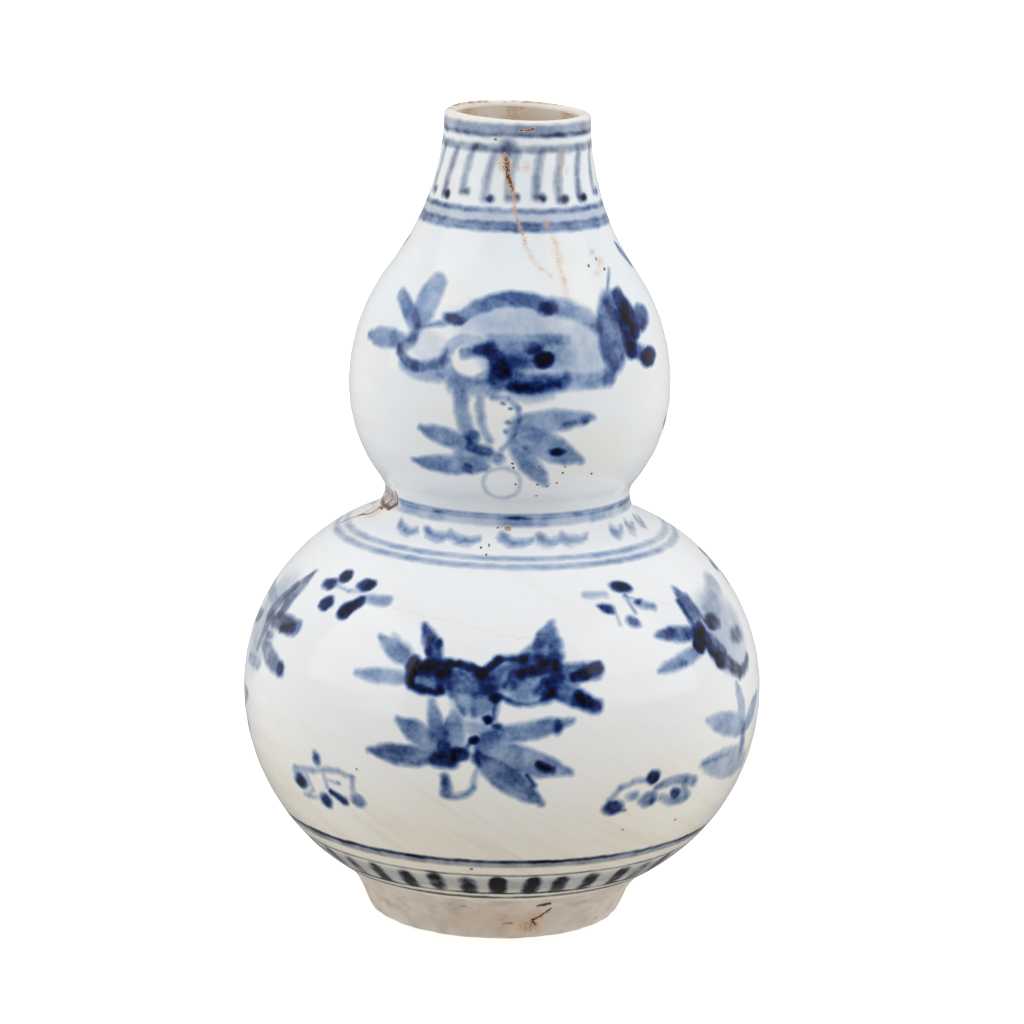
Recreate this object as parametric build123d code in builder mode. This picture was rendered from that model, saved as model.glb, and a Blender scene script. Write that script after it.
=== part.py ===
from build123d import *

import os

# Double gourd vase, thrown in five porcelain sections that are luted together
# with slip. Millimetres, +Z up, origin at the middle of the foot's standing edge.

# Foot ring and base
foot_radius = 34.4
foot_top_radius = 39.2
foot_height = 11.6
foot_ring_width = 4.0
foot_edge_round = 1.0
foot_corner_round = 20.0
recess_depth = 7.0
recess_taper = 1.2
recess_corner_round = 2.0
floor_thickness = 6.0
floor_corner_round = 5.0
base_wall = 7.5

# Lower bulb, waist and upper bulb
belly_radius = 70.6
belly_height = 61.9
belly_to_waist = 54.3
waist_radius = 33.3
waist_hollow = 7.0
waist_to_upper_belly = 29.5
upper_belly_radius = 43.4
upper_dome_radius = 52.8
wall = 4.2

# Neck and lip
upper_belly_to_top = 74.3
lip_radius = 19.6
mouth_radius = 16.5
mouth_length = 10.0
neck_length = 29.0

# Slip in the joints: a thin layer between two sections, and the bead it leaves inside
slip_thickness = 1.0
slip_bead_radius = 2.5
slip_bead_proud = 1.2

# Heights that follow from the stacked lengths
waist_height = belly_height + belly_to_waist
upper_belly_height = waist_height + waist_to_upper_belly
overall_height = upper_belly_height + upper_belly_to_top
neck_height = overall_height - neck_length
floor_height = recess_depth + floor_thickness
lip_round = (lip_radius - mouth_radius) / 2
lip_height = overall_height - lip_round
mouth_foot_height = lip_height - mouth_length


def swell_beside_hollow(widest, hollow_centre, hollow):
    """Radius of the bulge that stands upright at its widest point and meets a given hollow smoothly."""
    across = hollow_centre.X - widest.X
    up = hollow_centre.Y - widest.Y
    return (across**2 + up**2 - hollow**2) / (2 * (hollow - across))


def hollow_beside_swell(narrowest, swell_centre, swell):
    """Radius of the hollow that stands upright at its narrowest point and meets a given bulge smoothly."""
    across = narrowest.X - swell_centre.X
    up = narrowest.Y - swell_centre.Y
    return (across**2 + up**2 - swell**2) / (2 * (swell - across))


def turning_point(swell_centre, swell, hollow_centre, hollow):
    """Point where a bulge turns into the hollow that it meets."""
    return swell_centre + (hollow_centre - swell_centre) * (swell / (swell + hollow))


# Widest and narrowest points of the outside, and the arcs between them.
# The radius is along X and the height along Y.
belly = Vector(belly_radius, belly_height)
upper_belly = Vector(upper_belly_radius, upper_belly_height)
lip = Vector(lip_radius, lip_height)

waist_centre = Vector(waist_radius + waist_hollow, waist_height)
shoulder_swell = swell_beside_hollow(belly, waist_centre, waist_hollow)
shoulder_centre = Vector(belly_radius - shoulder_swell, belly_height)
cup_swell = swell_beside_hollow(upper_belly, waist_centre, waist_hollow)
cup_centre = Vector(upper_belly_radius - cup_swell, upper_belly_height)
dome_centre = Vector(upper_belly_radius - upper_dome_radius, upper_belly_height)
neck_hollow = hollow_beside_swell(lip, dome_centre, upper_dome_radius)
neck_centre = Vector(lip_radius + neck_hollow, lip_height)

shoulder_turn = turning_point(shoulder_centre, shoulder_swell, waist_centre, waist_hollow)
cup_turn = turning_point(cup_centre, cup_swell, waist_centre, waist_hollow)
neck_turn = turning_point(dome_centre, upper_dome_radius, neck_centre, neck_hollow)

# The inside keeps the wall's thickness through both bulbs and the waist, and ends in a straight mouth.
inside_belly = belly - Vector(wall, 0)
inside_upper_belly = upper_belly - Vector(wall, 0)
inside_mouth_top = Vector(mouth_radius, lip_height)
inside_mouth_foot = Vector(mouth_radius, mouth_foot_height)
inside_hollow = waist_hollow + wall
inside_dome = upper_dome_radius - wall
inside_neck_hollow = hollow_beside_swell(inside_mouth_foot, dome_centre, inside_dome)
inside_neck_centre = Vector(mouth_radius + inside_neck_hollow, mouth_foot_height)
inside_shoulder_turn = turning_point(
    shoulder_centre, shoulder_swell - wall, waist_centre, inside_hollow
)
inside_cup_turn = turning_point(cup_centre, cup_swell - wall, waist_centre, inside_hollow)
inside_neck_turn = turning_point(dome_centre, inside_dome, inside_neck_centre, inside_neck_hollow)

# Foot ring, turned recess and floor
recess_radius = foot_radius - foot_ring_width
recess_top = Vector(recess_radius - recess_taper, recess_depth)
foot_corner = Vector(foot_top_radius, foot_height)
floor_corner = Vector(foot_top_radius - base_wall, floor_height)

up = Vector(0, 1)
down = Vector(0, -1)

# Half section of the whole wall, from the foot to the lip
with BuildSketch() as wall_section:
    with BuildLine():
        Polyline((0, recess_depth), recess_top, (recess_radius, 0), (foot_radius, 0), foot_corner)
        TangentArc(belly, foot_corner, tangent=down)
        shoulder_line = TangentArc(belly, shoulder_turn, tangent=up)
        waist_line = TangentArc(shoulder_turn, cup_turn, tangent=shoulder_line % 1)
        TangentArc(cup_turn, upper_belly, tangent=waist_line % 1)
        dome_line = TangentArc(upper_belly, neck_turn, tangent=up)
        TangentArc(neck_turn, lip, tangent=dome_line % 1)
        TangentArc(lip, inside_mouth_top, tangent=up)
        Line(inside_mouth_top, inside_mouth_foot)
        inside_neck_line = TangentArc(inside_mouth_foot, inside_neck_turn, tangent=down)
        TangentArc(inside_neck_turn, inside_upper_belly, tangent=inside_neck_line % 1)
        inside_cup_line = TangentArc(inside_upper_belly, inside_cup_turn, tangent=down)
        inside_waist_line = TangentArc(
            inside_cup_turn, inside_shoulder_turn, tangent=inside_cup_line % 1
        )
        TangentArc(inside_shoulder_turn, inside_belly, tangent=inside_waist_line % 1)
        TangentArc(inside_belly, floor_corner, tangent=down)
        Polyline(floor_corner, (0, floor_height), (0, recess_depth))
    make_face()
    fillet(wall_section.vertices().group_by(Axis.Y)[0], radius=foot_edge_round)
    fillet(wall_section.vertices().sort_by_distance(recess_top)[0], radius=recess_corner_round)
    fillet(wall_section.vertices().sort_by_distance(foot_corner)[0], radius=foot_corner_round)
    fillet(wall_section.vertices().sort_by_distance(floor_corner)[0], radius=floor_corner_round)

half_slip = slip_thickness / 2
bead_shift = Vector(slip_bead_radius - slip_bead_proud, 0)
band_reach = belly_radius + upper_belly_radius


def wall_between(low, high):
    """The wall's half section between two heights."""
    with BuildSketch() as band:
        add(wall_section.sketch_local)
        with Locations((0, low)):
            Rectangle(band_reach, high - low, align=(Align.MIN, Align.MIN), mode=Mode.INTERSECT)
    return band.sketch_local


def slip_in_joint(height):
    """Half section of the slip in the joint at one height: flush outside, with a bead inside."""
    inside_wall = wall_section.sketch_local.face().outer_wire()
    with BuildLine():
        to_wall = IntersectingLine((0, height), (1, 0), inside_wall)
    with BuildSketch() as slip:
        with Locations(to_wall @ 1 + bead_shift):
            Circle(slip_bead_radius)
        add(wall_section.sketch_local, mode=Mode.SUBTRACT)
        add(wall_between(height - half_slip, height + half_slip))
    return slip.sketch_local


# Lower half of the lower bulb, with its foot ring turned from the same clay
with BuildPart() as base_bowl:
    with BuildSketch(Plane.XZ):
        add(wall_between(0, belly_height - half_slip))
    revolve(axis=Axis.Z)

# Slip in the joint round the belly
with BuildPart() as belly_slip:
    with BuildSketch(Plane.XZ):
        add(slip_in_joint(belly_height))
    revolve(axis=Axis.Z)

# Upper half of the lower bulb, closing in to the waist
with BuildPart() as shoulder_section:
    with BuildSketch(Plane.XZ):
        add(wall_between(belly_height + half_slip, waist_height - half_slip))
    revolve(axis=Axis.Z)

# Slip in the joint at the waist
with BuildPart() as waist_slip:
    with BuildSketch(Plane.XZ):
        add(slip_in_joint(waist_height))
    revolve(axis=Axis.Z)

# Lower half of the upper bulb, opening out from the waist
with BuildPart() as upper_cup:
    with BuildSketch(Plane.XZ):
        add(wall_between(waist_height + half_slip, upper_belly_height - half_slip))
    revolve(axis=Axis.Z)

# Slip in the joint round the upper belly
with BuildPart() as upper_belly_slip:
    with BuildSketch(Plane.XZ):
        add(slip_in_joint(upper_belly_height))
    revolve(axis=Axis.Z)

# Upper half of the upper bulb, closing in to the neck
with BuildPart() as upper_dome:
    with BuildSketch(Plane.XZ):
        add(wall_between(upper_belly_height + half_slip, neck_height - half_slip))
    revolve(axis=Axis.Z)

# Slip in the joint at the root of the neck
with BuildPart() as neck_slip:
    with BuildSketch(Plane.XZ):
        add(slip_in_joint(neck_height))
    revolve(axis=Axis.Z)

# Neck with its straight mouth and rounded lip
with BuildPart() as neck:
    with BuildSketch(Plane.XZ):
        add(wall_between(neck_height + half_slip, overall_height))
    revolve(axis=Axis.Z)

pieces = {
    "base_bowl": base_bowl,
    "belly_slip": belly_slip,
    "shoulder_section": shoulder_section,
    "waist_slip": waist_slip,
    "upper_cup": upper_cup,
    "upper_belly_slip": upper_belly_slip,
    "upper_dome": upper_dome,
    "neck_slip": neck_slip,
    "neck": neck,
}

os.makedirs("parts", exist_ok=True)
for name, piece in pieces.items():
    piece.part.label = name
    export_step(piece.part, f"parts/{name}.step")
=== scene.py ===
import math

import bpy
import numpy as np
from mathutils import Matrix, Vector


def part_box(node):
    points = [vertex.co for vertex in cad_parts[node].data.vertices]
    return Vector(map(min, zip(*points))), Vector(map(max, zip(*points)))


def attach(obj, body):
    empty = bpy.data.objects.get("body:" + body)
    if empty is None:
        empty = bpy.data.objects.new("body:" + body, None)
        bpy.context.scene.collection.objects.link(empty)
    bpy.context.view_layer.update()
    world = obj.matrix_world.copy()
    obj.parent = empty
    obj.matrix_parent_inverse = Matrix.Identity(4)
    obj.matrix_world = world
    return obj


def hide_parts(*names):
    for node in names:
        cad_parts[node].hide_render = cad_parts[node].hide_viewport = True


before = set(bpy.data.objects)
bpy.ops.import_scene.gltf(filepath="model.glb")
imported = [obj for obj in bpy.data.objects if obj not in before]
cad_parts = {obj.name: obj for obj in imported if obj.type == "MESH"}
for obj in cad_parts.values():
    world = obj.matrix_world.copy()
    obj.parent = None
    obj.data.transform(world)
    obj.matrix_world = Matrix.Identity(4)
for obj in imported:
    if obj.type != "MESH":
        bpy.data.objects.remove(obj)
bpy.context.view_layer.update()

# Lower half of the lower bulb, thrown in porcelain, with the foot ring and its recess turned from the same
# clay. It is painted in cobalt under a clear glaze; the glaze stops above the foot, which stays bare.
# Sizes of the vase are in mm.
METRE = 1000
WALL = 4.2
GLAZE = 0.35
# Faces round the vase, how near two ends of runs are one corner, and the finishes of a section with the room
# that each gets on the baked map.
AROUND = 192
MEETING = 0.05
OUTSIDE, INSIDE, BARE = 0, 1, 2
MAP_SHARES = (3.0, 1.0, 1.0)


def joint_height(lower, upper):
    """Height halfway between two sections of the frame, in mm."""
    return (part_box(lower)[1][2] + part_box(upper)[0][2]) / 2 * METRE


BELLY = joint_height("base_bowl", "shoulder_section")
HALF_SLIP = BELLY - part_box("base_bowl")[1][2] * METRE
BELLY_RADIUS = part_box("belly_slip")[1][0] * METRE


def arc(centre, radius, start, end, step=1.6):
    """Points of the half section along an arc, in mm, each with the way that the line runs there."""
    turn = math.radians(end - start)
    count = max(2, math.ceil(abs(turn) * radius / step))
    way = math.copysign(1.0, turn)
    points = []
    for i in range(count + 1):
        angle = math.radians(start) + turn * i / count
        across, up = math.cos(angle), math.sin(angle)
        points.append((centre[0] + radius * across, centre[1] + radius * up, -up * way, across * way))
    return points


def straight(start, end, step=5.0):
    """Points of the half section along a straight line, in mm, each with the way that the line runs."""
    start, end = start[:2], end[:2]
    length = math.dist(start, end)
    count = max(1, math.ceil(length / step))
    way = ((end[0] - start[0]) / length, (end[1] - start[1]) / length)
    return [
        (start[0] + way[0] * length * i / count, start[1] + way[1] * length * i / count) + way
        for i in range(count + 1)
    ]


def across_wall(start, end):
    """Runs across a section's end at a joint. Under the glaze, the wall stops short to make room for slip."""
    under_glaze = max(start[0], end[0]) - GLAZE
    points = [start, (under_glaze, start[1]), (under_glaze, end[1]), end]
    return [(straight(a, b), BARE) for a, b in zip(points, points[1:])]


def turn_towards(centre, other):
    """Angle from one arc's centre to the next one's, in degrees: there the outline passes between them."""
    return math.degrees(math.atan2(other[1] - centre[1], other[0] - centre[0]))


def turn_at(centre, radius, height):
    """Angle of an arc's point at a height, in degrees, on its side away from the axis."""
    return math.degrees(math.asin((height - centre[1]) / radius))


def ease(value, low, high):
    """0 below low, 1 above high, and a smooth rise between."""
    part = min(max((value - low) / (high - low), 0.0), 1.0)
    return part * part * (3 - 2 * part)


# Faults of hand work. The oval is a share of the radius, and each wave of the rim has its depth, its count
# round the rim and its start.
OVAL = 0.00286
THROWING_RINGS = 0.035
FOOT_WEAR = 0.22
CHIP_TURN = -75
CHIP_HEIGHT = 115.8
CHIP_DEPTH = 0.9
CHIP_HALF_TURN = 0.22
CHIP_HALF_HEIGHT = 2.2
RIM_WAVES = ((0.3, 1, 0.2), (0.42, 1, math.pi / 2), (0.1, 3, 0.6))
NECK_LEAN = 0.3
FOOT_LEAN = 0.75


def thrown(radius, height, angle):
    """Where a point of the true outline lies on the hand-thrown vase, in metres, at each of some angles."""
    oval = OVAL * radius * (1 + np.cos(2 * angle - 1.2))
    throwing = THROWING_RINGS * (1 + np.sin(height * 0.9 + angle))
    worn = ease(height, 2.2, 0.0) * FOOT_WEAR * (1 + np.sin(9 * angle) * np.sin(23 * angle + 1))
    chip_across = (angle - math.radians(CHIP_TURN)) / CHIP_HALF_TURN
    chip_up = (height - CHIP_HEIGHT) / CHIP_HALF_HEIGHT
    chip = CHIP_DEPTH * np.exp(-(chip_across ** 4) - chip_up ** 4)
    near_axis = min(radius / 20, 1.0)
    r = radius - (oval + throwing + worn) * near_axis - chip
    warp = sum(depth * (1 + np.sin(count * angle + start)) for depth, count, start in RIM_WAVES)
    z = height - ease(height, 196, 220) * warp
    lean = NECK_LEAN * ease(height, 180, 206) - FOOT_LEAN * ease(height, 34, 4)
    return np.stack((r * np.sin(angle) + lean, -r * np.cos(angle), z), axis=-1) / METRE


def facing(point, angle):
    """Outward normals of the thrown surface at a point of the half section, at each of some angles."""
    r, z, way_r, way_z = point
    small = 0.05
    if r < small:
        return np.tile((0.0, 0.0, -way_r), (len(angle), 1))
    ahead = thrown(r + way_r * small, z + way_z * small, angle)
    behind = thrown(r - way_r * small, z - way_z * small, angle)
    side = thrown(r, z, angle + small / r) - thrown(r, z, angle - small / r)
    out = np.cross(side, ahead - behind)
    return out / np.linalg.norm(out, axis=1, keepdims=True)


def turned(name, runs, finishes):
    """Turns a closed half section into a mesh. Each run is its points and the number of its finish."""
    spots, corners, normals, worn_by, places, rings = [], [], [], [], [], []
    angles = np.linspace(-math.pi, math.pi, AROUND + 1)

    def ring(point):
        # Ends of runs that meet share one ring, so that the mesh is closed.
        for place, line in rings:
            if math.dist(place, point[:2]) < MEETING:
                return line
        count = AROUND if point[0] > MEETING else 1
        line = [len(spots) + i for i in range(count)]
        spots.extend(thrown(point[0], point[1], angles[:count]).tolist())
        rings.append((point[:2], line))
        return line

    def share(low, high, finish):
        # A step's part of the baked map, where the painted outside gets more room.
        return MAP_SHARES[finish] * math.dist(low[:2], high[:2])

    whole = sum(share(low, high, finish) for run, finish in runs for low, high in zip(run, run[1:]))
    done = 0.0
    for run, finish in runs:
        looks = [facing(point, angles).tolist() for point in run]
        for j, (low, high) in enumerate(zip(run, run[1:])):
            below, above = ring(low), ring(high)
            next_done = done + share(low, high, finish) / whole
            for i in range(AROUND):
                quad = [(below, i, j, done), (below, i + 1, j, done)]
                quad += [(above, i + 1, j + 1, next_done), (above, i, j + 1, next_done)]
                if len(below) == 1:
                    quad.pop(1)
                if len(above) == 1:
                    quad.pop()
                corners.append([line[k % len(line)] for line, k, level, v in quad])
                normals.extend(looks[level][k] for line, k, level, v in quad)
                places.extend((k / AROUND, v) for line, k, level, v in quad)
                worn_by.append(finish)
            done = next_done
    mesh = bpy.data.meshes.new(name)
    mesh.from_pydata(spots, [], corners)
    mapped = mesh.uv_layers.new(name="OFBake")
    mapped.data.foreach_set("uv", [number for place in places for number in place])
    mesh.polygons.foreach_set("material_index", worn_by)
    for finish in finishes:
        mesh.materials.append(finish)
    mesh.normals_split_custom_set(normals)
    made = bpy.data.objects.new(name, mesh)
    bpy.context.collection.objects.link(made)
    return made


class Wire:
    """A socket of a node tree. Sums and products of wires and numbers add Math nodes."""

    def __init__(self, tree, socket=None):
        self.tree = tree
        self.socket = socket

    def node(self, kind, settings=None, sockets=None, out=0):
        made = self.tree.nodes.new(kind)
        for name, value in (settings or {}).items():
            if name == "stops":
                ramp = made.color_ramp
                while len(ramp.elements) < len(value):
                    ramp.elements.new(0.5)
                for element, (place, colour) in zip(ramp.elements, value):
                    element.position = place
                    element.color = colour
            else:
                setattr(made, name, value)
        for key, value in (sockets or {}).items():
            if isinstance(value, Wire):
                self.tree.links.new(value.socket, made.inputs[key])
            else:
                made.inputs[key].default_value = value
        return Wire(self.tree, made.outputs[out] if made.outputs else None)

    def math(self, operation, *values):
        return self.node("ShaderNodeMath", {"operation": operation}, dict(enumerate(values)))

    def vector(self, operation, *values, out=0):
        return self.node("ShaderNodeVectorMath", {"operation": operation}, dict(enumerate(values)), out)

    def parts(self, kind="ShaderNodeSeparateXYZ"):
        """The three numbers of this vector or colour."""
        split = self.node(kind, None, {0: self})
        return [Wire(self.tree, socket) for socket in split.socket.node.outputs]

    def rise(self, low, high, least=0.0, most=1.0):
        """Smooth step of this value from low to high."""
        values = dict(enumerate((self, low, high, least, most)))
        return self.node("ShaderNodeMapRange", {"interpolation_type": "SMOOTHSTEP"}, values)

    def mix(self, first, second):
        """Mix of two colours, by this value."""
        return self.node("ShaderNodeMix", {"data_type": "RGBA"}, {0: self, 6: first, 7: second}, 2)

    def noise(self, scale, detail=2.0, stretch=(1, 1, 1), out=0):
        """Noise over the surface; this wire is the place in mm."""
        place = self if stretch == (1, 1, 1) else self.vector("MULTIPLY", self, stretch)
        return self.node("ShaderNodeTexNoise", None, {"Vector": place, "Scale": scale, "Detail": detail}, out)

    def __abs__(self):
        return self.math("ABSOLUTE", self)

    def __add__(self, other):
        return self.math("ADD", self, other)

    __radd__ = __add__

    def __sub__(self, other):
        return self.math("SUBTRACT", self, other)

    def __rsub__(self, other):
        return self.math("SUBTRACT", other, self)

    def __mul__(self, other):
        return self.math("MULTIPLY", self, other)

    __rmul__ = __mul__

    def __truediv__(self, other):
        return self.math("DIVIDE", self, other)


def tint(red, green, blue):
    """A colour as the eye names it, 0 to 255, in the linear light that nodes work in."""
    parts = [channel / 255 for channel in (red, green, blue)]
    return (*(((part + 0.055) / 1.055) ** 2.4 if part > 0.04 else part / 12.92 for part in parts), 1.0)


def brush(start, end, first, last, tone, belly=0.0, bend=0.0, soft=1.0):
    """One brush stroke in mm: half widths at its ends, extra in the middle, and how far it bows to its left.
    Each stroke is its lowest and highest place, and a function that puts it on paper."""
    length = math.dist(start, end)
    along = ((end[0] - start[0]) / length, (end[1] - start[1]) / length)
    side = (-along[1], along[0])
    middle = ((start[0] + end[0]) / 2, (start[1] + end[1]) / 2)
    half = length / 2
    spread = max(first, last) + belly + abs(bend) + 2

    def put(paper):
        onward = -(middle[0] * along[0] + middle[1] * along[1])
        offset = -(middle[0] * side[0] + middle[1] * side[1]) - bend
        run = paper.vector("DOT_PRODUCT", paper, (*along, onward), out=1)
        across = paper.vector("DOT_PRODUCT", paper, (*side, offset), out=1)
        part = paper.node("ShaderNodeMapRange", None, dict(enumerate((run, -half, half, -1.0, 1.0))))
        past = paper.math("MULTIPLY_ADD", part, -half, run)
        wide = (first + last) / 2 + belly
        if bend or belly:
            square = part * part
        if bend:
            across = paper.math("MULTIPLY_ADD", square, bend, across)
        if first != last:
            wide = paper.math("MULTIPLY_ADD", part, (last - first) / 2, wide)
        if belly:
            wide = paper.math("MULTIPLY_ADD", square, -belly, wide)
        reach = paper.node("ShaderNodeCombineXYZ", None, {0: past, 1: across})
        reach = paper.vector("LENGTH", reach, out=1)
        if isinstance(wide, Wire):
            return (reach - wide).rise(soft, -soft, 0.0, tone)
        return reach.rise(wide + soft, wide - soft, 0.0, tone)

    return min(start[1], end[1]) - spread, max(start[1], end[1]) + spread, put


def leaf(tip, base, wide, tone, bend=0.0):
    """A leaf laid down with one press of the brush, from its tip to its base."""
    return brush(tip, base, wide * 0.25, wide * 0.5, tone, wide * 0.55, bend)


def oval(paper, centre, wide, tall, tilt):
    """How many times its own radius away from an oval's middle."""
    turn = math.radians(tilt)
    if not tilt:
        scale = (1 / wide, 1 / tall, 0)
        away = paper.vector("MULTIPLY_ADD", paper, scale, (-centre[0] / wide, -centre[1] / tall, 0))
        return paper.vector("LENGTH", away, out=1)
    axes = (math.cos(turn) / wide, math.sin(turn) / wide), (-math.sin(turn) / tall, math.cos(turn) / tall)
    parts = [
        paper.vector("DOT_PRODUCT", paper, (*axis, -(centre[0] * axis[0] + centre[1] * axis[1])), out=1)
        for axis in axes
    ]
    away = paper.node("ShaderNodeCombineXYZ", None, {0: parts[0], 1: parts[1]})
    return paper.vector("LENGTH", away, out=1)


def blot(centre, wide, tall, tone, tilt=0.0, soft=0.95):
    """A round touch of the loaded brush, half width and half height in mm."""
    edge = min(soft / min(wide, tall), 0.8)
    spread = max(wide, tall) + 2

    def put(paper):
        return oval(paper, centre, wide, tall, tilt).rise(1 + edge, 1 - edge, 0.0, tone)

    return centre[1] - spread, centre[1] + spread, put


def loop(centre, wide, tall, thick, tone, soft=0.75):
    """A closed loop of line; thick is half the line's width."""
    size = (wide + tall) / 2
    spread = max(wide, tall) + 2

    def put(paper):
        line = abs(oval(paper, centre, wide, tall, 0.0) - 1)
        return line.rise((thick + soft) / size, (thick - soft) / size, 0.0, tone)

    return centre[1] - spread, centre[1] + spread, put


def trail(points, thick, tone, soft=0.75):
    """A line through several points."""
    return [brush(a, b, thick, thick, tone, soft=soft) for a, b in zip(points, points[1:])]


def touch(paper, stroke):
    """The tone of one stroke by itself."""
    bottom, top, put = stroke
    return put(paper)


EVERYWHERE = (-math.inf, math.inf)


def lay(ink, paper, strokes, half=EVERYWHERE, batch=12):
    """Adds the strokes that reach one half of a bulb. Their tones add as squares: paint over paint darkens
    less than the sum."""
    low, high = half
    reaching = [put for bottom, top, put in strokes if bottom < high and top > low]
    for first in range(0, len(reaching), batch):
        group = bpy.data.node_groups.new("strokes", "ShaderNodeTree")
        group.interface.new_socket("Paper", in_out="INPUT", socket_type="NodeSocketVector")
        group.interface.new_socket("Ink", in_out="INPUT", socket_type="NodeSocketFloat")
        group.interface.new_socket("Ink", in_out="OUTPUT", socket_type="NodeSocketFloat")
        sheet = Wire(group).node("NodeGroupInput")
        laid = Wire(group, sheet.socket.node.outputs[1])
        # A shader holds few values at a time, so each group waits for the one before it.
        sheet = sheet.vector("MULTIPLY_ADD", laid, (1e-9, 1e-9, 1e-9), sheet)
        laid = laid * laid
        for put in reaching[first:first + batch]:
            tone = put(sheet)
            laid = laid.math("MULTIPLY_ADD", tone, tone, laid)
        laid = laid.math("SQRT", laid)
        laid.node("NodeGroupOutput", None, {0: laid})
        before = {} if ink is None else {1: ink}
        ink = paper.node("ShaderNodeGroup", {"node_tree": group}, {0: paper, **before})
    return ink


def ring_line(rise, height, thick, tone, soft=0.7):
    """A line painted round the vase while it turned on the wheel."""
    return abs(rise - height).rise(thick + soft, max(thick - soft, 0.0), 0.0, tone)


class Surface:
    """Where a point of the outside is: the angle round from the front, the radius and the height, in mm."""

    def __init__(self, material):
        material.use_nodes = True
        material.node_tree.nodes.clear()
        raw = Wire(material.node_tree).node("ShaderNodeTexCoord", out="Object")
        self.place = raw.node("ShaderNodeVectorMath", {"operation": "SCALE"}, {0: raw, "Scale": METRE})
        x, y, self.height = self.place.parts()
        square = x * x + y * y
        self.radius = square.math("SQRT", square)
        self.angle = x.math("ARCTAN2", x, y * -1)
        # How far the painter's hand strays, in mm: a slow drift with a small tremor on it.
        drift, tremor = 1.3, 0.06
        slow = self.place.noise(0.3, 1.0, out=1)
        quick = self.place.noise(1.5, 1.0, out=1)
        sway = slow.vector("MULTIPLY_ADD", slow, (drift,) * 3, (-drift / 2,) * 3)
        self.sway = quick.vector("MULTIPLY_ADD", quick, (tremor,) * 3, sway).parts()

    def along(self, centre, radius):
        """Distance along the outline from the widest place, on the bulge with this centre and radius."""
        up = self.height - centre[1]
        return up.math("ARCTAN2", up, self.radius - centre[0]) * radius

    def flat(self, across, up):
        """A place for the brush: mm along the girth and mm along the outline."""
        return across.node("ShaderNodeCombineXYZ", None, {0: across, 1: up, 2: 1.0})

    def paper(self, turn, rise, every=None, seam=None, floor=None):
        """Places round an angle, in degrees. They repeat at every step, if one is given; seam is where they
        start and end behind the vase, and no place lies before the floor's angle."""
        angle = self.angle
        if seam is not None:
            angle = angle.math("WRAP", angle, math.radians(seam + 360), math.radians(seam))
        if floor is not None:
            angle = angle.math("MAXIMUM", angle, math.radians(floor))
        angle = angle - math.radians(turn)
        if every is not None:
            half = math.radians(every / 2)
            angle = angle.math("WRAP", angle, half, -half)
        girth = angle.math("MULTIPLY_ADD", angle, self.radius, self.sway[0])
        return self.flat(girth, rise + self.sway[1])

    def repeat(self, count, turn):
        """Angle within one of a row of like strokes, and three numbers of its own for each."""
        step = 2 * math.pi / count
        place = (self.angle - math.radians(turn)) / step + 0.5
        whole = place.math("FLOOR", place)
        own = whole.node("ShaderNodeTexWhiteNoise", {"noise_dimensions": "1D"}, {"W": whole}, 1)
        return (place - whole - 0.5) * step, own.parts("ShaderNodeSeparateColor")


COBALT = [
    (0.0, tint(255, 255, 255)),
    (0.1, tint(211, 219, 231)),
    (0.22, tint(170, 188, 217)),
    (0.36, tint(120, 146, 187)),
    (0.5, tint(72, 100, 153)),
    (0.64, tint(28, 56, 120)),
    (0.8, tint(4, 28, 90)),
    (1.0, tint(0, 0, 22)),
]
PALE_RUST = tint(208, 174, 144)
DARK_RUST = tint(84, 58, 42)
BISCUIT = tint(208, 198, 184)


def glazed(surface, ink, rust, body, rough=0.09, bare=None, vivid=1.0):
    """Clear glossy glaze over the painted clay. Bare is 1 where no glaze covers the clay."""
    place = surface.place
    grain = place.noise(2.6, 2.0)
    if ink is not None:
        pooled = place.noise(0.18, 3.0).rise(0.3, 0.7, 0.75, 1.28)
        brushed = place.noise(0.8, 2.5)
        depth = ink * pooled * (brushed * 0.5 + 0.75) + (grain - 0.5) * ink * 0.14
        blue = depth.node("ShaderNodeValToRGB", {"stops": COBALT}, {0: depth})
        blue = blue.node("ShaderNodeHueSaturation", None, {"Saturation": vivid, "Color": blue})
        stained = {"data_type": "RGBA", "blend_type": "MULTIPLY"}
        body = blue.node("ShaderNodeMix", stained, {0: 1.0, 6: body, 7: blue}, 2)
    gloss = place.noise(0.05, 3.0).rise(0.3, 0.7, rough * 0.8, rough * 1.5)
    if bare is not None:
        clay = place.noise(0.2, 5.0)
        stain = place.noise(0.13, 5.0, stretch=(1, 1, 2.0))
        crumb = clay.rise(0.3, 0.7).mix(tint(194, 184, 169), BISCUIT)
        crumb = stain.rise(0.46, 0.7, 0.0, 0.35).mix(crumb, tint(166, 134, 108))
        pits = place.noise(0.45, 6.0) * stain.rise(0.4, 0.6)
        crumb = pits.rise(0.58, 0.7, 0.0, 0.4).mix(crumb, tint(112, 76, 54))
        body = bare.mix(body, crumb)
        gloss = bare.math("MULTIPLY_ADD", bare, 0.6, gloss)
    # The rust stains also carry painted shade: over the front of the foot, and in a patch below the chip at
    # the waist.
    if rust is not None:
        worn = rust * grain.rise(0.3, 0.7, 0.55, 1.4)
        iron = worn.rise(0.4, 1.0).mix(PALE_RUST, DARK_RUST)
        body = worn.rise(0.08, 0.6).mix(body, iron)
    peel = place.noise(0.55, 2.0) + place.noise(2.4, 1.0) * 0.16
    if bare is not None:
        peel += bare * place.noise(1.6, 4.0) * 2.5
    bump = peel.node("ShaderNodeBump", None, {"Strength": 0.09, "Distance": 0.0004, "Height": peel})
    shade = bump.node(
        "ShaderNodeBsdfPrincipled", None, {"Base Color": body, "Roughness": gloss, "Normal": bump, "IOR": 1.5}
    )
    shade.node("ShaderNodeOutputMaterial", None, {"Surface": shade})


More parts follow.
